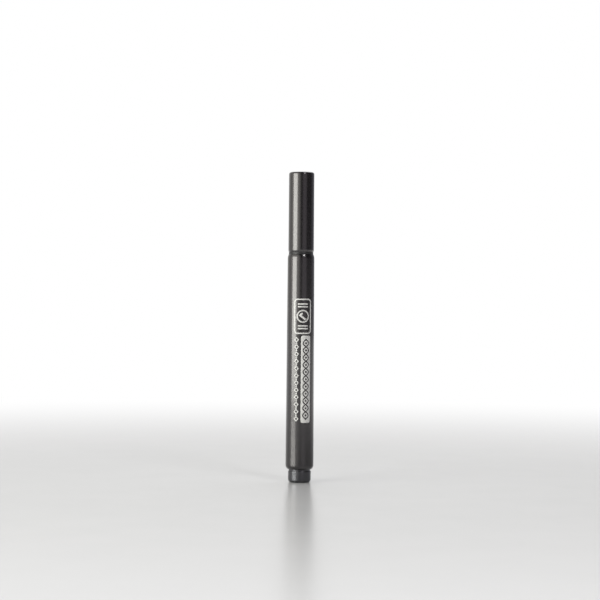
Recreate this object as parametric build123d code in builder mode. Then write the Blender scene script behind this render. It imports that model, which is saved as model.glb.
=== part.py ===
"""Counterfeit detector pen: a felt-tipped marker with a pull-off cap.

Millimetres. The pen stands on the flat end of its tail plug, with +Z along its axis towards the cap.
The origin is the centre of that flat end. Every station along the axis is worked out from the tail up.
"""

from build123d import *
import os

# Driving dimensions: lengths along the axis
tail_head_length = 5.1          # the part of the tail plug that shows
tail_neck_length = 0.6          # groove between the plug's head and the barrel
barrel_length = 94.9
collar_thickness = 0.8          # ring of the nib section that shows between barrel and cap
cap_length = 35.4

# Driving dimensions: outside radii
tail_head_radius = 5.05         # the cap's mouth, and so the cap, is sized to this head
barrel_tail_radius = 6.2
barrel_front_radius = 5.9

# Clearances, all radial unless the name says otherwise
press_clearance = 0.03          # plug and section pressed into the barrel, seal pressed into the cap
sliding_clearance = 0.05        # inner seal over the snout, snap bead in the cap's mouth
posting_clearance = 0.04        # cap's mouth pushed over the tail plug's head
nib_clearance = 0.03
end_clearance = 0.3             # lengthwise, at the ends of the reservoir and of the nib's pocket

# Barrel
barrel_wall = 1.0               # at the front edge of the side, where the tube is thinnest
tail_round_length = 2.0         # how far the rounding runs along the side
tail_lip_width = 0.8            # flat ring that the rounding leaves round the tail socket
front_round_length = 2.0
front_round_depth = 0.45        # how far the front rounding turns in
tail_socket_step = 0.6          # the socket for the plug is this much narrower than the bore
tail_socket_length = 7.0
rib_count = 4                   # ribs along the bore that centre the reservoir
rib_width = 0.8
rib_root = 0.2                  # how far a rib is sunk into the wall
rib_end_gap = 1.0

# Tail plug
tail_neck_depth = 0.3           # groove below the head's side
plug_grip_length = 8.0          # stem pressed into the barrel
plug_wall = 0.95
plug_floor = 1.3
plug_foot_round = 1.2
plug_head_round = 0.25
plug_stem_chamfer = 0.4

# Nib section
section_grip_length = 9.0       # sleeve pressed into the barrel
section_sleeve_wall = 0.6
section_sleeve_chamfer = 0.2
section_web = 1.6               # solid floor of the sleeve, measured back from the barrel's front face
land_length = 6.0               # cylinder that the cap's mouth sits around
land_gap = 0.19                 # between that cylinder and the cap's mouth
land_chamfer = 0.4
bead_offset = 3.2               # snap bead's centre, from the collar's front face
bead_width = 1.0
cone_base_step = 0.6            # ledge between the land and the foot of the cone
cone_length = 8.6
snout_wall = 1.17
snout_length = 4.5
snout_round = 0.6
vent_count = 4                  # air grooves along the nib's bore
vent_radius = 0.35

# Nib
nib_radius = 2.1
nib_length = 38.0
nib_reach = 5.5                 # beyond the snout
nib_flat_thickness = 2.4        # across the two flats of the chisel
nib_flat_length = 3.6
nib_flat_run_out = 1.4
nib_slant_drop = 3.0            # from the chisel's toe to its heel
nib_tail_chamfer = 0.6

# Ink reservoir
film_thickness = 0.1
film_clearance = 0.02           # between the film and the fibre core
reservoir_clearance = 0.05      # between the film and what centres it

# Cap
cap_mouth_wall = 0.56
cap_draft = 0.05                # the cap is this much narrower at its top
rim_round_length = 1.2
rim_round_depth = 0.25
cap_top_round = 0.9
cap_top_thickness = 1.2
cap_bore_wall = 0.85            # beyond the mouth
mouth_overlap = 0.8             # how far the mouth runs on past the section's land
mouth_taper_length = 1.2
snap_groove_depth = 0.1
snap_groove_width = 1.4

# Inner seal
seal_wall = 0.65
seal_flange_thickness = 1.2
seal_start = 0.5                # above the foot of the snout
seal_lead = 0.3                 # chamfer at the seal's mouth
seal_end_gap = 0.05             # lengthwise, below the cap's ceiling

# Stations along the axis
barrel_rear_z = tail_head_length + tail_neck_length
barrel_front_z = barrel_rear_z + barrel_length
shelf_z = barrel_rear_z + tail_socket_length
plug_end_z = barrel_rear_z + plug_grip_length
sleeve_rear_z = barrel_front_z - section_grip_length
web_z = barrel_front_z - section_web
collar_front_z = barrel_front_z + collar_thickness
land_end_z = collar_front_z + land_length
cone_end_z = land_end_z + cone_length
snout_end_z = cone_end_z + snout_length
nib_tip_z = snout_end_z + nib_reach
nib_tail_z = nib_tip_z - nib_length
reservoir_rear_z = plug_end_z + end_clearance
reservoir_front_z = web_z - end_clearance
mouth_end_z = land_end_z + mouth_overlap
cap_top_z = collar_front_z + cap_length
ceiling_z = cap_top_z - cap_top_thickness
seal_mouth_z = cone_end_z + seal_start
seal_top_z = ceiling_z - seal_end_gap

# Radii that follow from the fits
barrel_bore_radius = barrel_front_radius - barrel_wall
tail_socket_radius = barrel_bore_radius - tail_socket_step
barrel_tail_lip = tail_socket_radius + tail_lip_width
barrel_front_lip = barrel_front_radius - front_round_depth
tail_neck_radius = tail_head_radius - tail_neck_depth
plug_stem_radius = tail_socket_radius - press_clearance
plug_bore_radius = plug_stem_radius - plug_wall
section_sleeve_radius = barrel_bore_radius - press_clearance
sleeve_bore_radius = section_sleeve_radius - section_sleeve_wall
film_radius = sleeve_bore_radius - reservoir_clearance
core_radius = film_radius - film_thickness - film_clearance
nib_bore_radius = nib_radius + nib_clearance
cap_mouth_radius = tail_head_radius + posting_clearance
cap_rim_radius = cap_mouth_radius + cap_mouth_wall
cap_top_radius = cap_rim_radius - cap_draft
cap_rim_lip = cap_rim_radius - rim_round_depth
cap_bore_radius = cap_top_radius - cap_bore_wall
land_radius = cap_mouth_radius - land_gap
bead_radius = cap_mouth_radius - sliding_clearance
cone_base_radius = land_radius - cone_base_step
snout_radius = nib_bore_radius + snout_wall
seal_bore_radius = snout_radius + sliding_clearance
seal_tube_radius = seal_bore_radius + seal_wall
seal_flange_radius = cap_bore_radius - press_clearance

# Barrel: a tapered tube, rounded in at both ends, with a narrower socket at the rear for the plug
with BuildPart() as barrel:
    with BuildSketch(Plane.XZ):
        with BuildLine():
            side = Line(
                (barrel_tail_radius, barrel_rear_z + tail_round_length),
                (barrel_front_radius, barrel_front_z - front_round_length),
            )
            tail_round = TangentArc(side @ 0, (barrel_tail_lip, barrel_rear_z), tangent=side % 0 * -1)
            front_round = TangentArc(side @ 1, (barrel_front_lip, barrel_front_z), tangent=side % 1)
            Polyline(
                front_round @ 1,
                (barrel_bore_radius, barrel_front_z),
                (barrel_bore_radius, shelf_z),
                (tail_socket_radius, shelf_z),
                (tail_socket_radius, barrel_rear_z),
                tail_round @ 1,
            )
        make_face()
    revolve(axis=Axis.Z)
    rib_rear_z = shelf_z + rib_end_gap
    rib_crest = film_radius + reservoir_clearance
    rib_depth = barrel_bore_radius + rib_root - rib_crest
    with BuildSketch(Plane.XY.offset(rib_rear_z)):
        with PolarLocations(rib_crest + rib_depth / 2, rib_count):
            Rectangle(rib_depth, rib_width)
    extrude(amount=sleeve_rear_z - rib_end_gap - rib_rear_z)
barrel.part.label = "barrel"

# Tail plug: a hollow stub with a round-edged head, a short neck and a stem pressed into the barrel
with BuildPart() as tail_plug:
    with BuildSketch(Plane.XZ):
        with BuildLine():
            foot = Line((0, 0), (tail_head_radius - plug_foot_round, 0))
            foot_round = TangentArc(foot @ 1, (tail_head_radius, plug_foot_round), tangent=foot % 1)
            head = Line(foot_round @ 1, (tail_head_radius, tail_head_length - plug_head_round))
            head_round = TangentArc(
                head @ 1, (tail_head_radius - plug_head_round, tail_head_length), tangent=head % 1
            )
            Polyline(
                head_round @ 1,
                (tail_neck_radius, tail_head_length),
                (tail_neck_radius, barrel_rear_z),
                (plug_stem_radius, barrel_rear_z),
                (plug_stem_radius, plug_end_z - plug_stem_chamfer),
                (plug_stem_radius - plug_stem_chamfer, plug_end_z),
                (plug_bore_radius, plug_end_z),
                (plug_bore_radius, plug_floor),
                (0, plug_floor),
                foot @ 0,
            )
        make_face()
    revolve(axis=Axis.Z)
tail_plug.part.label = "tail_plug"

# Nib section: sleeve in the barrel, collar, land with its snap bead, cone and snout around the nib
with BuildPart() as nib_section:
    bead_z = collar_front_z + bead_offset
    with BuildSketch(Plane.XZ):
        with BuildLine():
            rear = Polyline(
                (sleeve_bore_radius, sleeve_rear_z),
                (section_sleeve_radius - section_sleeve_chamfer, sleeve_rear_z),
                (section_sleeve_radius, sleeve_rear_z + section_sleeve_chamfer),
                (section_sleeve_radius, barrel_front_z),
                (cap_rim_lip, barrel_front_z),
                (cap_rim_lip, collar_front_z),
                (land_radius, collar_front_z),
                (land_radius, bead_z - bead_width / 2),
            )
            bead = ThreePointArc(rear @ 1, (bead_radius, bead_z), (land_radius, bead_z + bead_width / 2))
            cone = Polyline(
                bead @ 1,
                (land_radius, land_end_z - land_chamfer),
                (land_radius - land_chamfer, land_end_z),
                (cone_base_radius, land_end_z),
                (snout_radius, cone_end_z),
                (snout_radius, snout_end_z - snout_round),
            )
            snout = TangentArc(cone @ 1, (snout_radius - snout_round, snout_end_z), tangent=(0, 1))
            Polyline(
                snout @ 1,
                (nib_bore_radius, snout_end_z),
                (nib_bore_radius, web_z),
                (sleeve_bore_radius, web_z),
                rear @ 0,
            )
        make_face()
    revolve(axis=Axis.Z)
    with BuildSketch(Plane.XY.offset(web_z)):
        with PolarLocations(nib_bore_radius, vent_count, start_angle=45):
            Circle(vent_radius)
    extrude(amount=snout_end_z - web_z, mode=Mode.SUBTRACT)
nib_section.part.label = "nib_section"

# Nib: a pressed fibre rod, cut to a slanted chisel at the front and bevelled at the rear
with BuildPart() as nib:
    with BuildSketch(Plane.XY.offset(nib_tail_z)):
        Circle(nib_radius)
    extrude(amount=nib_length)
    chamfer(nib.edges().group_by(Axis.Z)[0], nib_tail_chamfer)
    with BuildSketch(Plane.XZ):
        with BuildLine():
            Polyline(
                (-nib_radius, nib_tip_z),
                (nib_radius, nib_tip_z - nib_slant_drop),
                (nib_radius, nib_tip_z),
                close=True,
            )
        make_face()
    extrude(amount=nib_radius, both=True, mode=Mode.SUBTRACT)
    with BuildSketch(Plane.YZ):
        with BuildLine():
            Polyline(
                (nib_flat_thickness / 2, nib_tip_z),
                (nib_flat_thickness / 2, nib_tip_z - nib_flat_length),
                (nib_radius, nib_tip_z - nib_flat_length - nib_flat_run_out),
                (nib_radius, nib_tip_z),
                close=True,
            )
        make_face()
        mirror(about=Plane.YZ)
    extrude(amount=nib_radius, both=True, mode=Mode.SUBTRACT)
nib.part.label = "nib"

# Ink reservoir: a fibre bundle with a pocket for the nib's tail
with BuildPart() as ink_reservoir:
    with BuildSketch(Plane.XY.offset(reservoir_rear_z)):
        Circle(core_radius)
    extrude(amount=reservoir_front_z - reservoir_rear_z)
    pocket_z = nib_tail_z - end_clearance
    with BuildSketch(Plane.XY.offset(pocket_z)):
        Circle(nib_bore_radius)
    extrude(amount=reservoir_front_z - pocket_z, mode=Mode.SUBTRACT)
ink_reservoir.part.label = "ink_reservoir"

# Reservoir film: a thin sleeve round the bundle, open at both ends
with BuildPart() as reservoir_film:
    with BuildSketch(Plane.XY.offset(reservoir_rear_z)):
        Circle(film_radius)
        Circle(film_radius - film_thickness, mode=Mode.SUBTRACT)
    extrude(amount=reservoir_front_z - reservoir_rear_z)
reservoir_film.part.label = "reservoir_film"

# Cap shell: a straight-sided cup whose mouth fits the section's bead, and the tail plug's head when posted
with BuildPart() as cap_shell:
    groove_low_z = bead_z - snap_groove_width / 2
    groove_high_z = bead_z + snap_groove_width / 2
    with BuildSketch(Plane.XZ):
        with BuildLine():
            side = Line(
                (cap_rim_radius, collar_front_z + rim_round_length),
                (cap_top_radius, cap_top_z - cap_top_round),
            )
            rim_round = TangentArc(side @ 0, (cap_rim_lip, collar_front_z), tangent=side % 0 * -1)
            top_round = TangentArc(side @ 1, (cap_top_radius - cap_top_round, cap_top_z), tangent=side % 1)
            Polyline(
                top_round @ 1,
                (0, cap_top_z),
                (0, ceiling_z),
                (cap_bore_radius, ceiling_z),
                (cap_bore_radius, mouth_end_z + mouth_taper_length),
                (cap_mouth_radius, mouth_end_z),
                (cap_mouth_radius, groove_high_z),
                (cap_mouth_radius + snap_groove_depth, groove_high_z - snap_groove_depth),
                (cap_mouth_radius + snap_groove_depth, groove_low_z + snap_groove_depth),
                (cap_mouth_radius, groove_low_z),
                (cap_mouth_radius, collar_front_z),
                rim_round @ 1,
            )
        make_face()
    revolve(axis=Axis.Z)
cap_shell.part.label = "cap_shell"

# Inner seal: a small cup with a flange at each end, held in the shell and closed round the snout
with BuildPart() as cap_inner_seal:
    with BuildSketch(Plane.XZ):
        with BuildLine():
            Polyline(
                (seal_bore_radius + seal_lead, seal_mouth_z),
                (seal_flange_radius, seal_mouth_z),
                (seal_flange_radius, seal_mouth_z + seal_flange_thickness),
                (seal_tube_radius, seal_mouth_z + seal_flange_thickness),
                (seal_tube_radius, seal_top_z - seal_flange_thickness),
                (seal_flange_radius, seal_top_z - seal_flange_thickness),
                (seal_flange_radius, seal_top_z),
                (0, seal_top_z),
                (0, seal_top_z - seal_flange_thickness),
                (seal_bore_radius, seal_top_z - seal_flange_thickness),
                (seal_bore_radius, seal_mouth_z + seal_lead),
                close=True,
            )
        make_face()
    revolve(axis=Axis.Z)
cap_inner_seal.part.label = "cap_inner_seal"

os.makedirs("parts", exist_ok=True)
export_step(barrel.part, "parts/barrel.step")
export_step(tail_plug.part, "parts/tail_plug.step")
export_step(nib_section.part, "parts/nib_section.step")
export_step(nib.part, "parts/nib.step")
export_step(ink_reservoir.part, "parts/ink_reservoir.step")
export_step(reservoir_film.part, "parts/reservoir_film.step")
export_step(cap_shell.part, "parts/cap_shell.step")
export_step(cap_inner_seal.part, "parts/cap_inner_seal.step")
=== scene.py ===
import bpy
import math
import numpy as np
from mathutils import Matrix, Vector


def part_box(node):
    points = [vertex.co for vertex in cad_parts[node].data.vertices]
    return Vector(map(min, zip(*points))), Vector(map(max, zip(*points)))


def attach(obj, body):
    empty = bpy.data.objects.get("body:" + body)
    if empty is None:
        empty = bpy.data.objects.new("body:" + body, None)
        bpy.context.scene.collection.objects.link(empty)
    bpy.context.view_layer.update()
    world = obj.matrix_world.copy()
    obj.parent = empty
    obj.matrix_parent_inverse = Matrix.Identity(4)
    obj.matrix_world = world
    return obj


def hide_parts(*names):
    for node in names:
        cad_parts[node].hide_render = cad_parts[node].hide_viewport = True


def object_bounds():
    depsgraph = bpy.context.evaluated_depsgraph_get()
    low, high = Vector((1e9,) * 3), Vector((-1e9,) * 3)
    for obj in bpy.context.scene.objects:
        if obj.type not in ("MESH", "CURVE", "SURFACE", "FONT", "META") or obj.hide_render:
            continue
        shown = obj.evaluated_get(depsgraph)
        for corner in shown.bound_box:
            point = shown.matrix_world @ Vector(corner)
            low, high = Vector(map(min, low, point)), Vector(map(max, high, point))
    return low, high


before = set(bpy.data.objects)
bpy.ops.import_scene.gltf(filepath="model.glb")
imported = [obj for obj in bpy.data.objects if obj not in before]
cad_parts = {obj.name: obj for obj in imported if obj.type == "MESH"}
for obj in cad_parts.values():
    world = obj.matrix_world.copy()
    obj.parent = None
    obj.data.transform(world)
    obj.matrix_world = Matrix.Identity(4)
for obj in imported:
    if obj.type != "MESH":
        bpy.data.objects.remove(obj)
cad_low, cad_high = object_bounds()

# ---------------------------------------------------------------------------------------------
# Barrel. An injection-moulded plastic tube that tapers towards the cap, sprayed with gunmetal
# metallic lacquer. Ribs in its bore centre the ink reservoir; the tail end narrows to a socket.

MM = 0.001                      # every outline below is in millimetres
TURN = 2 * math.pi


def eased(corners, closed=True, steps=7, long_side=0.4, guard=0.05):
    """Rounds the corners of an outline. A corner is (r, z, reach): its arc starts `reach` before
    the corner and ends `reach` after it. The arc is the rational quadratic curve with the corner
    as its middle point, weighted by the cosine of half the turn, which makes it a true circle.
    A side over long_side gets a point `guard` from each end, which keeps it flat when shaded.
    """
    corners = np.array(corners, float)
    point, reach = corners[:, :2], corners[:, 2:]
    back = np.roll(point, 1, 0) - point
    ahead = np.roll(point, -1, 0) - point
    back /= np.linalg.norm(back, axis=1, keepdims=True)
    ahead /= np.linalg.norm(ahead, axis=1, keepdims=True)
    weight = np.sqrt((1 - np.sum(back * ahead, 1)) / 2)[:, None, None]
    t = np.linspace(0, 1, steps)[None, :, None]
    first, middle, last = (1 - t) ** 2, 2 * weight * t * (1 - t), t**2
    start, end = (point + back * reach)[:, None], (point + ahead * reach)[:, None]
    curve = (first * start + middle * point[:, None] + last * end) / (first + middle + last)
    curve = curve.reshape(-1, 2)
    if not closed:
        curve = curve[steps - 1:1 - steps]
    following = np.roll(curve, -1, 0)
    length = np.linalg.norm(following - curve, axis=1)
    inset = (following - curve) * (guard / np.maximum(length, guard))[:, None]
    guarded = np.stack([curve, curve + inset, following - inset], 1)
    keep = np.stack([length > 1e-6, length > long_side, length > long_side], 1)
    if not closed:
        keep[-1] = True, False, False
    return guarded[keep]


def piece(name, vertices, faces, finish, smooth=35):
    """A mesh object at the origin from points in millimetres, shaded smooth up to that angle."""
    mesh = bpy.data.meshes.new(name)
    mesh.from_pydata((np.asarray(vertices) * MM).tolist(), [], faces)
    mesh.shade_smooth()
    mesh.set_sharp_from_angle(angle=math.radians(smooth))
    mesh.materials.append(finish)
    made = bpy.data.objects.new(name, mesh)
    bpy.context.scene.collection.objects.link(made)
    return made


def wound(name, grid, finish, poles=None):
    """A piece from a grid of points whose columns go once round the pen. With two poles, a fan
    of triangles closes each end; without them, the last row joins the first.
    """
    index = np.arange(grid.shape[0] * grid.shape[1]).reshape(grid.shape[:2])
    low, high = (index, np.roll(index, -1, 0)) if poles is None else (index[:-1], index[1:])
    quads = np.stack([low, np.roll(low, -1, 1), np.roll(high, -1, 1), high], -1)
    faces = quads.reshape(-1, 4).tolist()
    vertices = grid.reshape(-1, 3)
    if poles is not None:
        bottom, top = np.full(grid.shape[1], index.size), np.full(grid.shape[1], index.size + 1)
        faces += np.stack([bottom, np.roll(index[0], -1), index[0]], 1).tolist()
        faces += np.stack([index[-1], np.roll(index[-1], -1), top], 1).tolist()
        vertices = np.vstack([vertices, poles])
    return piece(name, vertices, faces, finish)


def turned(name, outline, finish, around=192, reshape=None):
    """A piece turned about the pen's axis. The outline's point (r, z) sweeps the circle
    (r sin a, -r cos a, z) as the angle a goes once round. reshape(r, z, a) may change r.
    An outline that starts and ends on the axis has its poles there.
    """
    r, z = np.asarray(outline).T
    poles = None
    if r[0] == 0:
        poles = [[0, 0, z[0]], [0, 0, z[-1]]]
        r, z = r[1:-1], z[1:-1]
    angle = np.arange(around) * TURN / around
    radius, height, angle = np.broadcast_arrays(r[:, None], z[:, None], angle[None])
    if reshape:
        radius = reshape(radius, height, angle)
    grid = np.stack([radius * np.sin(angle), -radius * np.cos(angle), height], -1)
    return wound(name, grid, finish, poles)


class Socket:
    """One output of a material's node tree. Arithmetic on it adds Math nodes to the tree."""

    def __init__(self, tree, output=None):
        self.tree, self.output = tree, output

    def node(self, kind, settings=None, inputs=None, output=0):
        """Adds a shader node. Its settings are set first, and then each input, found by its
        number or identifier, is given its value or its link.
        """
        node = self.tree.nodes.new("ShaderNode" + kind)
        for key, value in (settings or {}).items():
            setattr(node, key, value)
        for key, value in (inputs or {}).items():
            target = next(s for i, s in enumerate(node.inputs) if key in (i, s.identifier))
            self.give(target, value)
        return Socket(self.tree, node.outputs[output])

    def give(self, target, value):
        if isinstance(value, Socket):
            self.tree.links.new(value.output, target)
        else:
            target.default_value = value

    def math(self, operation, first, second):
        return self.node("Math", {"operation": operation}, {0: first, 1: second})

    def __add__(self, other):
        return self.math("ADD", self, other)

    def __sub__(self, other):
        return self.math("SUBTRACT", self, other)

    def __rsub__(self, other):
        return self.math("SUBTRACT", other, self)

    def __mul__(self, other):
        return self.math("MULTIPLY", self, other)

    __radd__, __rmul__ = __add__, __mul__

    def either(self, other):
        """The larger of this value and the other."""
        return self.math("MAXIMUM", self, other)

    def clamped(self, low, high):
        """0 below low, 1 above high, and a smooth step between them."""
        settings = {"interpolation_type": "SMOOTHSTEP"}
        return self.node("MapRange", settings, {"Value": self, "From Min": low, "From Max": high})

    def mix(self, low, high):
        """The colour low where this value is 0, and high where it is 1."""
        inputs = {"Factor_Float": self, "A_Color": low, "B_Color": high}
        return self.node("Mix", {"data_type": "RGBA"}, inputs, 2)


def new_finish(name, constants):
    """A material with one Principled shader that holds these constants. Returns the material,
    a Socket to add nodes with, and a function that feeds one of the shader's inputs.
    """
    material = bpy.data.materials.new(name)
    material.use_nodes = True
    shader = material.node_tree.nodes["Principled BSDF"]
    for key, value in constants.items():
        shader.inputs[key].default_value = value
    start = Socket(material.node_tree)
    return material, start, lambda key, value: start.give(shader.inputs[key], value)


def bumped(start, height, distance):
    """The normal of a surface raised by height (0 to 1) times distance, in metres."""
    return start.node("Bump", None, {"Distance": distance, "Height": height})


def lacquer_finish(name, dark, light, roughness):
    """Metallic lacquer under a clear coat. Voronoi cells are the flakes: each takes its own tone
    between dark and light and tilts the surface normal by its own random vector. Slow noise gives
    the coat the faint ripple of sprayed lacquer, and patches of slightly different gloss.
    """
    flake_scale, flake_tilt = 21000.0, 0.045
    haze_scale, haze_change = 90.0, 0.06
    ripple_scale, ripple_height = 420.0, 0.000004
    made, start, feed = new_finish(name, {
        "Metallic": 0.92, "Coat Weight": 0.4, "Coat Roughness": 0.05, "Coat IOR": 1.5})
    place = start.node("TexCoord", output="Object")
    flake = start.node("TexVoronoi", None, {"Vector": place, "Scale": flake_scale}, "Color")
    tone = start.node("SeparateColor", None, {"Color": flake}, "Red")
    haze = start.node("TexNoise", None, {"Vector": place, "Scale": haze_scale, "Detail": 3.0})
    ripple = start.node("TexNoise", None, {"Vector": place, "Scale": ripple_scale, "Detail": 1.0})
    feed("Base Color", (tone * tone).mix(dark, light))
    feed("Roughness", roughness + haze_change * (haze - 0.5))
    centred = start.node("VectorMath", {"operation": "SUBTRACT"}, {0: flake, 1: (0.5, 0.5, 0.5)})
    tilt = start.node("VectorMath", {"operation": "SCALE"}, {0: centred, "Scale": flake_tilt})
    normal = bumped(start, ripple, ripple_height)
    leaning = start.node("VectorMath", {"operation": "ADD"}, {0: normal, 1: tilt})
    feed("Normal", start.node("VectorMath", {"operation": "NORMALIZE"}, {0: leaning}))
    return made


gunmetal = lacquer_finish("gunmetal_lacquer",
                          (0.044, 0.0415, 0.043, 1), (0.118, 0.113, 0.113, 1), 0.19)

barrel_low, barrel_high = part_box("barrel")
tail_z, front_z = barrel_low.z / MM, barrel_high.z / MM
tail_radius, front_radius, bore_radius = 6.2, 5.9, 4.9
tail_lip, front_lip, end_rounding = 5.1, 5.45, 2.0
lip_edge, bore_edge, socket_edge = 0.06, 0.1, 0.05
arc_gap = 0.01                  # left straight between two neighbouring arcs
socket_radius, socket_depth = 4.3, 7.0
rib_count, rib_width, rib_crest, rib_step = 4, 0.8, 4.27, 0.01
rib_start, rib_stop = tail_z + socket_depth + 1.0, front_z - 10.0


def side_radius(z):
    """The barrel's side is a cone: its radius falls evenly from the tail end to the front end."""
    low, high = tail_z + end_rounding, front_z - end_rounding
    return tail_radius + (front_radius - tail_radius) * (z - low) / (high - low)


def tangent_length(depth, length=end_rounding):
    """How far the middle point of an end rounding is from both ends of its arc, for an arc that
    leaves the side straight and has turned in by depth after length along the axis.
    """
    return (depth**2 + length**2) / (2 * length)


def ribbed(r, z, angle):
    """The bore's radius drops to the ribs' crest within half a rib's width of each rib."""
    across = r * np.abs(np.sin(rib_count / 2 * angle)) * 2 / rib_count
    on_rib = (np.abs(r - bore_radius) < rib_step) & (across < rib_width / 2)
    return np.where(on_rib & (z > rib_start) & (z < rib_stop), rib_crest, r)


tail_arc = tangent_length(tail_radius - tail_lip)
front_arc = tangent_length(front_radius - front_lip)
tail_corner, front_corner = tail_z + end_rounding - tail_arc, front_z - end_rounding + front_arc
barrel_outline = eased([
    (tail_lip, tail_z, lip_edge),
    (side_radius(tail_corner), tail_corner, tail_arc - lip_edge - arc_gap),
    (side_radius(front_corner), front_corner, front_arc - lip_edge - arc_gap),
    (front_lip, front_z, lip_edge),
    (bore_radius, front_z, bore_edge),
    (bore_radius, rib_stop + rib_step, 0.0),
    (bore_radius, rib_stop - rib_step, 0.0),
    (bore_radius, rib_start + rib_step, 0.0),
    (bore_radius, rib_start - rib_step, 0.0),
    (bore_radius, tail_z + socket_depth, 0.0),
    (socket_radius, tail_z + socket_depth, bore_edge),
    (socket_radius, tail_z, socket_edge),
])
barrel = turned("barrel_tube", barrel_outline, gunmetal, around=256, reshape=ribbed)
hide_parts("barrel")
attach(barrel, "pen")

# ---------------------------------------------------------------------------------------------
# Print. White ink laid on the front of the barrel by a silicone pad, a few hundredths of a
# millimetre thick: a framed tick for a genuine note, a bar with a braid left dark, and a chain.

ink_height, ink_depth = 0.015, 0.02


def white_ink_finish():
    """White ink, a little uneven where the pad let go of it."""
    made, start, feed = new_finish("white_print_ink", {"Specular IOR Level": 0.4})
    place = start.node("TexCoord", output="Object")
    mottle = start.node("TexNoise", None, {"Vector": place, "Scale": 2600.0, "Detail": 4.0})
    feed("Base Color", mottle.mix((0.63, 0.63, 0.61, 1), (0.8, 0.8, 0.78, 1)))
    feed("Roughness", 0.42 + 0.2 * mottle)
    feed("Normal", bumped(start, mottle, 0.00001))
    return made


white_ink = white_ink_finish()


def resampled(path, spacing, closed):
    """Points evenly spaced along a path of straight runs, with its corners kept once each."""
    path = np.asarray(path, float)
    ends = np.vstack([path[1:], path[:1]]) if closed else path[1:]
    runs = []
    for start, end in zip(path, ends):
        length = float(np.linalg.norm(end - start))
        count = max(1, round(length / spacing)) if length > 1e-6 else 0
        runs.append(start + (end - start) * np.arange(count)[:, None] / max(count, 1))
    return np.vstack(runs if closed else [*runs, path[-1:]])


def stroke(path, width, closed=False, spacing=0.35, columns=4):
    """A printed line: a grid of points beside the path, offset along its mitred normal by up to
    half the width each way. Returns the points and whether the grid closes on itself.
    """
    path = resampled(path, spacing, closed)
    if closed:
        arriving, leaving = path - np.roll(path, 1, 0), np.roll(path, -1, 0) - path
    else:
        steps = np.diff(path, axis=0)
        arriving, leaving = np.vstack([steps[:1], steps]), np.vstack([steps, steps[-1:]])
    arriving /= np.linalg.norm(arriving, axis=1, keepdims=True)
    leaving /= np.linalg.norm(leaving, axis=1, keepdims=True)
    middle = arriving + leaving
    middle /= np.linalg.norm(middle, axis=1, keepdims=True)
    normal = np.stack([middle[:, 1], -middle[:, 0]], 1)
    normal /= np.sum(middle * leaving, 1, keepdims=True)
    share = np.linspace(-0.5, 0.5, columns)[None, :, None]
    return path[:, None] + normal[:, None] * width * share, closed


def loop(centre, half_across, half_along, corner, steps=6):
    """A rectangle with rounded corners, or a circle where corner is half of each side."""
    turn = np.linspace(0, TURN / 4, steps)
    corners = np.arange(4)[:, None] * TURN / 4 + turn
    middle = np.arange(4)[:, None] * TURN / 4 + TURN / 8
    x = np.sign(np.cos(middle)) * (half_across - corner) + corner * np.cos(corners)
    y = np.sign(np.sin(middle)) * (half_along - corner) + corner * np.sin(corners)
    return np.stack([x.ravel() + centre[0], y.ravel() + centre[1]], 1)


def solid(centre, half_across, half_along, corner, columns=8, corner_rows=8, rows_per_mm=1.5):
    """A filled rounded rectangle, or a disc where corner is half of each side: rows whose half
    width follows the corner's circle near both ends, each spread evenly over its width.
    """
    turn = np.linspace(0.05, TURN / 4, corner_rows)
    flat = half_along - corner
    middle = np.linspace(-flat, flat, max(2, round(2 * flat * rows_per_mm)))[1:-1]
    end, end_half = flat + corner * np.cos(turn), half_across - corner + corner * np.sin(turn)
    along = np.concatenate([-end, middle, end[::-1]])
    half = np.concatenate([end_half, 0 * middle + half_across, end_half[::-1]])
    apart = np.diff(along, prepend=-half_along - 1) > 1e-6
    across = np.linspace(-1, 1, columns)[None] * half[apart, None]
    return np.stack([across + centre[0], along[apart, None] + 0 * across + centre[1]], -1), False


def printed(name, shapes, finish, rise=None):
    """One piece made of several flat shapes, each wrapped round the barrel: its distance across,
    to the right of the front, becomes the angle across / r. rise(z) is added to the ink's height.
    The ink gets a wall that reaches ink_depth into the lacquer, and its face is shaded evenly up
    to that wall.
    """
    vertices, faces, used = [], [], 0
    for grid, closed in shapes:
        index = np.arange(grid.shape[0] * grid.shape[1]).reshape(grid.shape[:2]) + used
        low, high = (index, np.roll(index, -1, 0)) if closed else (index[:-1], index[1:])
        quads = np.stack([low[:, :-1], low[:, 1:], high[:, 1:], high[:, :-1]], -1)
        faces += quads.reshape(-1, 4).tolist()
        across, z = grid[..., 0], grid[..., 1]
        r = side_radius(z)
        lift = r + ink_height + (rise(z) if rise else 0)
        points = np.stack([lift * np.sin(across / r), -lift * np.cos(across / r), z], -1)
        vertices.append(points.reshape(-1, 3))
        used += index.size
    made = piece(name, np.vstack(vertices), faces, finish)
    wall = made.modifiers.new("ink_wall", "SOLIDIFY")
    wall.thickness = (ink_height + ink_depth) * MM
    wall.offset = -1
    made.modifiers.new("even_normals", "WEIGHTED_NORMAL")
    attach(made, "pen")
    return made


frame_centre, frame_half_across, frame_half_along = (1.06, 73.25), 3.75, 7.45
frame_line, frame_corner, seal_ring, seal_line = 0.62, 1.3, 2.55, 0.55
tick_corners, tick_line = [(-0.15, 1.4), (-1.25, 0.4), (1.3, -1.5)], 0.85
end_offsets, end_half_across, end_line = (4.2, 5.4), 2.3, 0.6
note_ends = [(frame_centre[0], frame_centre[1] + side * offset)
             for side in (-1, 1) for offset in end_offsets]
framed_tick = printed("print_framed_tick", [
    stroke(loop(frame_centre, frame_half_across, frame_half_along, frame_corner), frame_line, True),
    stroke(loop(frame_centre, seal_ring, seal_ring, seal_ring, 12), seal_line, True, 0.3),
    stroke(np.array(frame_centre) + tick_corners, tick_line),
    *[stroke([(x - end_half_across, z), (x + end_half_across, z)], end_line) for x, z in note_ends],
], white_ink)

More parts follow.
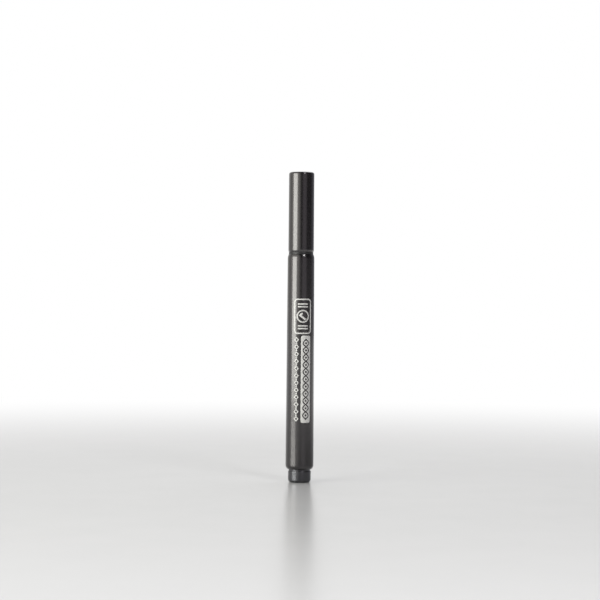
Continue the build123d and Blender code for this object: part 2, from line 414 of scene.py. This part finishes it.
bar_centre, bar_half_across, bar_half_along, bar_corner = (2.54, 45.65), 2.24, 19.1, 0.8
bar = solid(bar_centre, bar_half_across, bar_half_along, bar_corner, columns=20)
white_bar = printed("print_bar", [bar], white_ink)

braid_eyes, braid_margin, braid_reach, braid_line = 11, 1.7, 1.3, 0.5
eye_dot, knot_dot, dot_rise = 0.46, 0.42, 0.021
strand_rise, strand_weave = 0.012, 0.006        # which strand lies on top changes at each crossing
braid_low, braid_high = (bar_centre[1] + s * (bar_half_along - braid_margin) for s in (-1, 1))


def braid_phase(z):
    """Half a turn for each eye of the braid, from its low end up."""
    return (z - braid_low) / (braid_high - braid_low) * braid_eyes * TURN / 2


def dot(x, z, radius):
    """A printed disc."""
    return solid((x, z), radius, radius, radius)


braid_z = np.linspace(braid_low, braid_high, 40 * braid_eyes)
for name, side in (("print_braid_left", -1), ("print_braid_right", 1)):
    strand = np.stack([bar_centre[0] + side * braid_reach * np.sin(braid_phase(braid_z)), braid_z], 1)
    braid = printed(name, [stroke(strand, braid_line, spacing=0.4)], gunmetal,
                    lambda z, side=side: strand_rise + side * strand_weave * np.cos(braid_phase(z)))
eye_z = braid_low + (np.arange(braid_eyes) + 0.5) / braid_eyes * (braid_high - braid_low)
knots = [dot(bar_centre[0], z, knot_dot) for z in (braid_low, braid_high)]
eyes = [dot(bar_centre[0], z, eye_dot) for z in eye_z]
braid_dots = printed("print_braid_dots", knots + eyes, gunmetal, lambda z: dot_rise)

chain_across, chain_links, chain_pitch, chain_dot = -1.72, 12, 3.15, 0.33
link_half_across, link_half_along, link_line = 0.85, 0.95, 0.4
link_z = bar_centre[1] + (np.arange(chain_links) - (chain_links - 1) / 2) * chain_pitch
diamond = np.array([(link_half_across, 0), (0, link_half_along),
                    (-link_half_across, 0), (0, -link_half_along)])
links = [stroke((chain_across, z) + diamond, link_line, True) for z in link_z]
between = [dot(chain_across, z + chain_pitch / 2, chain_dot) for z in link_z[:-1]]
chain = printed("print_chain", links + between, white_ink)

# ---------------------------------------------------------------------------------------------
# Tail plug. A hollow stub of dark plastic with metallic pigment moulded in, pressed into the
# barrel's socket. Its head stays a little narrower than the barrel, so that the cap posts on it.

plug_low, plug_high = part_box("tail_plug")
foot_z, stem_end_z = plug_low.z / MM, plug_high.z / MM
head_radius, head_length, foot_rounding, head_edge = 5.05, 5.1, 1.2, 0.25
neck_radius, stem_radius, stem_chamfer, shoulder_edge = 4.75, 4.27, 0.4, 0.02
plug_bore, plug_floor, plug_edge, floor_fillet = 3.32, 1.3, 0.1, 0.3
shoulder_gap = 0.01
shoulder_z = tail_z - shoulder_gap
dark_plastic = lacquer_finish("dark_plug_plastic",
                              (0.056, 0.056, 0.061, 1), (0.12, 0.12, 0.13, 1), 0.22)
plug_outline = eased([
    (0, foot_z, 0.0),
    (head_radius, foot_z, foot_rounding),
    (head_radius, head_length, head_edge),
    (neck_radius, head_length, shoulder_edge),
    (neck_radius, shoulder_z, shoulder_edge),
    (stem_radius, shoulder_z, shoulder_edge),
    (stem_radius, stem_end_z - stem_chamfer, plug_edge),
    (stem_radius - stem_chamfer, stem_end_z, plug_edge),
    (plug_bore, stem_end_z, plug_edge),
    (plug_bore, plug_floor, floor_fillet),
    (0, plug_floor, 0.0),
], closed=False)
plug = turned("tail_plug_stub", plug_outline, dark_plastic)
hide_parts("tail_plug")
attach(plug, "pen")

# ---------------------------------------------------------------------------------------------
# Ink reservoir and its film. The reservoir is a soft rod of crimped polyester fibre soaked in
# amber ink, and a clear film wrapped round it keeps its shape as it slides into the barrel.


def fibre_finish(name, dark, light, along):
    """Fibres that run along the pen: noise stretched in Z by `along`, so that streaks show."""
    made, start, feed = new_finish(name, {"Roughness": 0.85, "Sheen Weight": 0.3})
    place = start.node("TexCoord", output="Object")
    stretched = start.node("Mapping", None, {"Vector": place, "Scale": (1.0, 1.0, 1 / along)})
    strand = start.node("TexNoise", None, {"Vector": stretched, "Scale": 9000.0, "Detail": 3.0})
    patch = start.node("TexNoise", None, {"Vector": place, "Scale": 700.0, "Detail": 2.0})
    feed("Base Color", (0.65 * strand + 0.35 * patch).mix(dark, light))
    feed("Normal", bumped(start, strand, 0.00004))
    return made


def film_finish():
    """Clear film with faint creases."""
    made, start, feed = new_finish("clear_film", {"Alpha": 0.3, "Base Color": (0.85, 0.84, 0.8, 1)})
    place = start.node("TexCoord", output="Object")
    crease = start.node("TexNoise", None, {"Vector": place, "Scale": 500.0, "Detail": 5.0})
    feed("Roughness", 0.08 + 0.25 * crease)
    feed("Normal", bumped(start, crease, 0.00002))
    return made


reservoir_low, reservoir_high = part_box("ink_reservoir")
rear_z, reservoir_end_z = reservoir_low.z / MM, reservoir_high.z / MM
core_radius, rod_edge = 4.1, 0.2
pocket_radius, pocket_depth, pocket_edge = 2.13, 11.0, 0.1
flute_count, flute_depth, flute_foot = 32, 0.06, pocket_radius + 0.3
film_radius, film_thickness, film_edge, lap_height = 4.22, 0.06, 0.01, 0.04


def fluted(r, z, angle):
    """Outside flute_foot the rod goes in and out round its axis as a cosine, by flute_depth at
    the most.
    """
    inward = flute_depth / core_radius * (1 - np.cos(flute_count * angle)) / 2
    return np.where(r > flute_foot, r * (1 - inward), r)


def lapped(r, z, angle):
    """The film's radius grows by lap_height in one turn, and its end laps over its start."""
    return r - lap_height * (1 - angle / TURN)


reservoir_outline = eased([
    (0, rear_z, 0.0),
    (core_radius, rear_z, rod_edge),
    (core_radius, reservoir_end_z, rod_edge),
    (pocket_radius, reservoir_end_z, pocket_edge),
    (pocket_radius, reservoir_end_z - pocket_depth, rod_edge),
    (0, reservoir_end_z - pocket_depth, 0.0),
], closed=False)
reservoir = turned("reservoir_rod", reservoir_outline,
                   fibre_finish("reservoir_fibre", (0.3, 0.12, 0.02, 1), (0.62, 0.34, 0.1, 1), 20),
                   around=256, reshape=fluted)
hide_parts("ink_reservoir")
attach(reservoir, "pen")

film_outline = eased([
    (film_radius - film_thickness, rear_z, film_edge),
    (film_radius, rear_z, film_edge),
    (film_radius, reservoir_end_z, film_edge),
    (film_radius - film_thickness, reservoir_end_z, film_edge),
], steps=3)
film = turned("reservoir_wrap", film_outline, film_finish(), reshape=lapped)
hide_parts("reservoir_film")
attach(film, "pen")

# ---------------------------------------------------------------------------------------------
# Nib section. One satin black moulding pressed into the front of the barrel: its collar shows
# below the cap, its bead snaps into the cap's mouth, and its snout grips the nib.

section_low, section_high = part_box("nib_section")
sleeve_z, snout_z = section_low.z / MM, section_high.z / MM
sleeve_radius, sleeve_bore, sleeve_chamfer, fine_edge = 4.87, 4.27, 0.2, 0.05
collar_radius, collar_thickness, collar_edge, seat_edge = 5.4, 0.8, 0.12, 0.02
collar_z, face_gap = front_z + collar_thickness, 0.005
collar_low, collar_high = front_z + face_gap, collar_z - face_gap
land_radius, land_length, land_edge = 4.9, 6.0, 0.08
land_chamfer, land_rounding = 0.4, 0.15
bead_radius, bead_offset, bead_half, crest_half = 5.04, 3.2, 0.55, 0.2
bead_fillet, crest_rounding = 0.12, 0.14
cone_foot, snout_radius, snout_length, nib_bore = 4.3, 3.3, 4.5, 2.13
snout_fillet, snout_rounding, web_thickness, web_fillet = 1.2, 0.6, 1.6, 0.2
vent_count, vent_radius, vent_margin = 4, 0.35, 0.06
bead_z, land_end = collar_z + bead_offset, collar_z + land_length


def satin_black_finish():
    """Black plastic with the fine grain of a spark-eroded mould."""
    made, start, feed = new_finish("satin_black_plastic", {"Base Color": (0.014, 0.014, 0.015, 1)})
    place = start.node("TexCoord", output="Object")
    grain = start.node("TexNoise", None, {"Vector": place, "Scale": 7000.0, "Detail": 3.0})
    feed("Roughness", 0.3 + 0.16 * grain)
    feed("Normal", bumped(start, grain, 0.000012))
    return made


def vented(r, z, angle):
    """Round air grooves in the nib's bore: where one crosses, the bore reaches out to the far
    side of the groove's circle, which is centred on the bore's wall.
    """
    off = np.remainder(angle, TURN / vent_count) - TURN / vent_count / 2
    inside = vent_radius**2 - (nib_bore * np.sin(off)) ** 2
    groove = nib_bore * np.cos(off) + np.sqrt(np.maximum(inside, 0))
    return np.where((r < nib_bore + vent_margin) & (inside > 0), np.maximum(groove, r), r)


section_outline = eased([
    (sleeve_bore, sleeve_z, fine_edge),
    (sleeve_radius - sleeve_chamfer, sleeve_z, fine_edge),
    (sleeve_radius, sleeve_z + sleeve_chamfer, fine_edge),
    (sleeve_radius, collar_low, seat_edge),
    (collar_radius, collar_low, collar_edge),
    (collar_radius, collar_high, collar_edge),
    (land_radius, collar_high, land_edge),
    (land_radius, bead_z - bead_half, bead_fillet),
    (bead_radius, bead_z - crest_half, crest_rounding),
    (bead_radius, bead_z + crest_half, crest_rounding),
    (land_radius, bead_z + bead_half, bead_fillet),
    (land_radius, land_end - land_chamfer, land_rounding),
    (land_radius - land_chamfer, land_end, land_edge),
    (cone_foot, land_end, land_edge),
    (snout_radius, snout_z - snout_length, snout_fillet),
    (snout_radius, snout_z, snout_rounding),
    (nib_bore, snout_z, fine_edge),
    (nib_bore, front_z - web_thickness, fine_edge),
    (sleeve_bore, front_z - web_thickness, web_fillet),
])
section = turned("nib_section_moulding", section_outline, satin_black_finish(), reshape=vented)
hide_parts("nib_section")
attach(section, "pen")

# ---------------------------------------------------------------------------------------------
# Nib. A rod of pressed polyester fibre, cut to a slanted chisel and ground flat on two sides.
# It draws amber ink from the reservoir, so its tip is stained and its edges are slightly furry.

nib_low, nib_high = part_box("nib")
nib_tail, nib_tip = nib_low.z / MM, nib_high.z / MM
nib_radius, nib_slack, nib_slant, nib_edge, tail_chamfer = 2.1, 0.02, 3.0, 0.16, 0.6
flat_half, flat_length, flat_run_out = 1.2, 3.6, 1.4
fur_height = 0.022


def nib_surface(around=160, side_rows=120, edge_rows=6, face_rows=14):
    """The nib as a grid of an angle a and a row. A row is the nib's outline times its share: 1
    down the side, less over the rounded edge, and falling to the middle on both ends. The outline
    is the circle (r cos a, r sin a) with y held between the two flats, and seeded noise, smoothed
    along the fibres, moves r. The side's rows are spread evenly between the chamfered tail and
    the slanted end, whose height falls with x.
    """
    angle = np.arange(around) * TURN / around
    rounding = np.linspace(0, TURN / 4, edge_rows)[1:]
    inset = nib_edge / nib_radius
    tail = np.array([0.05, 0.4, 0.72])
    edge = 1 - inset * (1 - np.cos(rounding))
    face = np.linspace(1 - inset, 0.05, face_rows)[1:]
    side = np.linspace(0, 1, side_rows)
    share = np.concatenate([tail, 0 * side + 1, edge, face])[:, None]
    along = np.concatenate([0 * tail, side, 0 * edge + 1, 0 * face + 1])[:, None]
    sunk = nib_edge * np.concatenate([0 * tail, 0 * side + 1, 1 - np.sin(rounding), 0 * face])[:, None]
    bottom = np.full(share.shape, nib_tail + tail_chamfer)
    bottom[:len(tail)] = nib_tail
    noise = np.random.default_rng(7).normal(size=(len(share), around))
    for _ in range(3):
        noise = (noise + np.roll(noise, 1, 0) + np.roll(noise, -1, 0)) / 3
    radius = nib_radius - nib_slack + fur_height * noise * (share > 0.5)

    x = share * radius * np.cos(angle)
    end = nib_tip - nib_slant * (x + nib_radius) / (2 * nib_radius)
    z = bottom + (end - sunk - bottom) * along
    run = np.clip((nib_tip - flat_length - z) / flat_run_out, 0, 1)
    limit = flat_half + (nib_radius - flat_half) * run
    y = share * np.clip(radius * np.sin(angle), -limit, limit)
    return np.stack([x, y, z], -1)


nib_grid = nib_surface()
nib_finish = fibre_finish("nib_felt", (0.42, 0.17, 0.025, 1), (0.8, 0.48, 0.16, 1), 14)
nib = wound("nib_felt_tip", nib_grid, nib_finish, poles=[nib_grid[0].mean(0), nib_grid[-1].mean(0)])
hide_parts("nib")
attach(nib, "pen")

# ---------------------------------------------------------------------------------------------
# Cap shell. A thin cup of plastic in the barrel's lacquer, flat on top, with no clip. Its mouth
# has a shallow groove for the section's bead, and its top keeps the dimple of the mould's gate.

cap_low, cap_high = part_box("cap_shell")
rim_z, top_z = cap_low.z / MM, cap_high.z / MM
rim_radius, rim_lip, rim_rounding, rim_edge = 5.65, 5.4, 1.2, 0.05
top_radius, top_rounding, top_thickness = 5.6, 0.9, 1.2
cap_bore, bore_fillet, mouth_radius, mouth_edge = 4.75, 0.3, 5.09, 0.08
mouth_margin, mouth_taper = 0.8, 1.2
groove_half, groove_depth, groove_edge = 0.7, 0.1, 0.04
gate_radius, gate_bevel, gate_depth, gate_edge, gate_fillet = 1.1, 0.2, 0.14, 0.1, 0.08
pip_foot, pip_radius, pip_height, pip_fillet, pip_edge = 0.35, 0.25, 0.07, 0.06, 0.04
ceiling_z, mouth_end, gate_z = top_z - top_thickness, land_end + mouth_margin, top_z - gate_depth
rim_arc = tangent_length(rim_radius - rim_lip, rim_rounding)
cap_outline = eased([
    (0, ceiling_z, 0.0),
    (cap_bore, ceiling_z, bore_fillet),
    (cap_bore, mouth_end + mouth_taper, bore_fillet),
    (mouth_radius, mouth_end, bore_fillet),
    (mouth_radius, bead_z + groove_half, groove_edge),
    (mouth_radius + groove_depth, bead_z + groove_half - groove_depth, groove_edge),
    (mouth_radius + groove_depth, bead_z - groove_half + groove_depth, groove_edge),
    (mouth_radius, bead_z - groove_half, groove_edge),
    (mouth_radius, rim_z, mouth_edge),
    (rim_lip, rim_z, rim_edge),
    (rim_radius, rim_z + rim_rounding - rim_arc, rim_arc - rim_edge - arc_gap),
    (top_radius, top_z, top_rounding),
    (gate_radius, top_z, gate_edge),
    (gate_radius - gate_bevel, gate_z, gate_fillet),
    (pip_foot, gate_z, pip_fillet),
    (pip_radius, gate_z + pip_height, pip_edge),
    (0, gate_z + pip_height, 0.0),
], closed=False)
cap = turned("cap_cup", cap_outline, gunmetal, around=256)
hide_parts("cap_shell")
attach(cap, "cap")

# ---------------------------------------------------------------------------------------------
# Inner seal. A small cup of soft unpigmented plastic pressed up inside the cap. Its mouth closes
# round the section's snout, so that the nib doesn't dry out.

seal_low, seal_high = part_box("cap_inner_seal")
seal_mouth, seal_top = seal_low.z / MM, seal_high.z / MM
seal_bore, roof_fillet, lead_in, bore_rounding, mouth_rounding = 3.35, 0.5, 0.3, 0.1, 0.08
seal_tube, seal_flange, flange_thickness, flange_edge, tube_fillet = 4.0, 4.72, 1.2, 0.12, 0.2
seal_roof = seal_top - flange_thickness


def milky_finish():
    """Unpigmented polyethylene: milky, waxy, with light scattered inside it."""
    made, start, feed = new_finish("milky_plastic", {
        "Subsurface Weight": 0.5, "Subsurface Radius": (1.0, 0.9, 0.7), "Subsurface Scale": 0.0008})
    place = start.node("TexCoord", output="Object")
    cloud = start.node("TexNoise", None, {"Vector": place, "Scale": 900.0, "Detail": 3.0})
    feed("Base Color", cloud.mix((0.66, 0.65, 0.6, 1), (0.8, 0.79, 0.75, 1)))
    feed("Roughness", 0.38 + 0.12 * cloud)
    feed("Normal", bumped(start, cloud, 0.00001))
    return made


seal_outline = eased([
    (0, seal_roof, 0.0),
    (seal_bore, seal_roof, roof_fillet),
    (seal_bore, seal_mouth + lead_in, bore_rounding),
    (seal_bore + lead_in, seal_mouth, mouth_rounding),
    (seal_flange, seal_mouth, flange_edge),
    (seal_flange, seal_mouth + flange_thickness, flange_edge),
    (seal_tube, seal_mouth + flange_thickness, tube_fillet),
    (seal_tube, seal_roof, tube_fillet),
    (seal_flange, seal_roof, flange_edge),
    (seal_flange, seal_top, flange_edge),
    (0, seal_top, 0.0),
], closed=False)
seal = turned("inner_seal_cup", seal_outline, milky_finish())
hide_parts("cap_inner_seal")
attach(seal, "cap")

# ---------------------------------------------------------------------------------------------
# Floor. A wide pale satin disc under the pen, which mirrors the lamps softly. Near the pen it is
# lit like any surface and takes its shadow; further out it fades to the white of the backdrop.

floor_radius, floor_thickness, floor_gap = 3000.0, 3.0, 0.02
floor_rings = (400.0, 40.0)      # finer faces near the pen
fade_from, fade_to = 100.0, 620.0


def seen_through(start):
    """1 for the camera's own rays, and 1 for those that gloss or glass sends on."""
    camera, glossy, through = (start.node("LightPath", output=f"Is {kind} Ray")
                               for kind in ("Camera", "Glossy", "Transmission"))
    return camera, glossy.either(through)


def pale_floor_finish():
    """Pale satin grey, which gives way to white light with the distance from the pen, for the
    camera's rays and the mirrored ones.
    """
    made, start, feed = new_finish("pale_floor", {"Roughness": 0.25, "Specular IOR Level": 0.5})
    place = start.node("TexCoord", output="Object")
    grain = start.node("TexNoise", None, {"Vector": place, "Scale": 40.0, "Detail": 4.0})
    feed("Base Color", grain.mix((0.62, 0.62, 0.62, 1), (0.66, 0.66, 0.66, 1)))
    distance = start.node("VectorMath", {"operation": "LENGTH"}, {0: place}, "Value")
    white = start.node("Emission", None, {"Color": (1, 1, 1, 1), "Strength": 1.0})
    camera_ray, mirrored_ray = seen_through(start)
    fade = camera_ray.either(mirrored_ray) * distance.clamped(fade_from * MM, fade_to * MM)
    tree = made.node_tree
    satin = Socket(tree, tree.nodes["Principled BSDF"].outputs[0])
    mixer = start.node("MixShader", None, {0: fade, 1: satin, 2: white})
    start.give(tree.nodes["Material Output"].inputs["Surface"], mixer)
    return made


floor_outline = [(0, -floor_thickness), (floor_radius, -floor_thickness)]
floor_outline += [(radius, -floor_gap) for radius in (floor_radius, *floor_rings, 0)]
floor = turned("floor", floor_outline, pale_floor_finish(), around=96)

# ---------------------------------------------------------------------------------------------
# Light. A wide soft box on the left, a larger one overhead and behind, and a small one high on the
# right that glints on rounded edges. The room is dark in front of the pen and pale behind it.


def direction(azimuth, elevation):
    """A unit vector from the pen: azimuth 0 points at the viewer, and 90 to the right."""
    a, e = math.radians(azimuth), math.radians(elevation)
    return np.array([math.sin(a) * math.cos(e), -math.cos(a) * math.cos(e), math.sin(e)])


def lamp(name, azimuth, elevation, distance, width, height, radiance, colour=(1, 1, 1)):
    """A rectangular area lamp that faces the pen's middle. Its power is its radiance times its
    area times pi.
    """
    light = bpy.data.lights.new(name, "AREA")
    light.shape, light.size, light.size_y = "RECTANGLE", width, height
    light.energy = radiance * width * height * math.pi
    light.color = colour
    holder = bpy.data.objects.new(name, light)
    bpy.context.scene.collection.objects.link(holder)
    away = direction(azimuth, elevation)
    side = np.cross([0, 0, 1], away)
    side /= np.linalg.norm(side)
    up = np.cross(away, side)
    holder.location = away * distance + [0, 0, (cad_low.z + cad_high.z) / 2]
    holder.rotation_euler = Matrix(np.stack([side, up, away], 1).tolist()).to_euler()
    holder.visible_camera = False


lamp("soft_box_left", -56, 6.9, 0.6, 0.42, 0.28, 5.6, (0.98, 1.0, 0.94))
lamp("soft_box_above", 165, 62, 0.9, 0.8, 0.7, 1.7)
lamp("soft_box_right", 31, 38, 0.8, 0.18, 0.18, 14.0)

world = bpy.data.worlds.new("studio_room")
bpy.context.scene.world = world
world.use_nodes = True
room = Socket(world.node_tree)
way = room.node("TexCoord", output="Generated")
to_right = room.node("SeparateXYZ", None, {0: way}, "X")
to_back = room.node("SeparateXYZ", None, {0: way}, "Y")


def glow(azimuth, spread):
    """A soft round patch of the room: 1 at its middle, and 0 at `spread` degrees from it."""
    toward = room.node("VectorMath", {"operation": "DOT_PRODUCT"},
                       {0: way, 1: direction(azimuth, 5).tolist()}, "Value")
    return toward.clamped(math.cos(math.radians(spread)), 1.0)


# In front the room is nearly black, with a dim patch at the far right, a stronger one near the
# middle and a wide bright one round the left soft box. Behind, it darkens from left to right.
dark_tone = glow(82, 36).mix((0.027, 0.022, 0.027, 1), (0.1, 0.09, 0.1, 1))
faint_tone = glow(30, 27).mix(dark_tone, (0.47, 0.43, 0.47, 1))
front_tone = glow(-58, 62).mix(faint_tone, (1.7, 1.67, 1.58, 1))
back_tone = to_right.clamped(-0.9, 0.9).mix((0.9, 0.89, 0.86, 1), (0.3, 0.3, 0.34, 1))
room_tone = to_back.clamped(-0.05, 0.5).mix(front_tone, back_tone)
camera_ray, mirrored_ray = seen_through(room)
backdrop = camera_ray.either(mirrored_ray * to_back.clamped(0.9, 0.99))
background = world.node_tree.nodes["Background"]
room.give(background.inputs["Color"], backdrop.mix(room_tone, (1, 1, 1, 1)))

# ---------------------------------------------------------------------------------------------
# Camera. Level with the pen, square on to its printed front, and rolled a little so that the
# cap leans to the right.

lens, sensor, frame_width = 100.0, 36.0, 0.2651
view_height, view_side, roll = 0.0804, -0.00033, math.radians(-0.45)
camera = bpy.data.objects.new("camera", bpy.data.cameras.new("camera"))
camera.data.lens, camera.data.sensor_width = lens, sensor
camera.location = (view_side, -frame_width * lens / sensor, view_height)
camera.rotation_euler = (math.pi / 2, roll, 0)
bpy.context.scene.collection.objects.link(camera)
bpy.context.scene.camera = camera
bpy.context.scene.view_settings.view_transform = "Standard"
